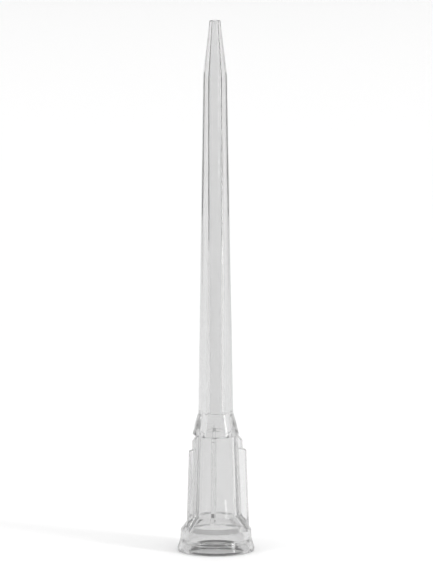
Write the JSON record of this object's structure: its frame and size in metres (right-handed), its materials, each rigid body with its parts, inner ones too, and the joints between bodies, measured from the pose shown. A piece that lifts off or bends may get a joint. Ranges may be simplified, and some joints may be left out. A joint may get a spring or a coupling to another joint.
{
  "type": "pipette tip",
  "caption": "Long clear pipette tip: a tapered hollow shaft and fine nozzle over a hub with stepped ribs, and a flanged collar round the socket that takes the pipette.",
  "frame": {"origin": "centre of the collar's rim, which the tip stands on", "axes": "+Z along the channel towards the nozzle; +Y through the middle of one rib"},
  "size_m": [0.0066, 0.0066, 0.046],
  "materials": {
    "clear_polypropylene": "clear, glossy moulded polypropylene with a faint haze"
  },
  "bodies": {
    "root": {"tip": "clear_polypropylene"}
  },
  "joints": []
}
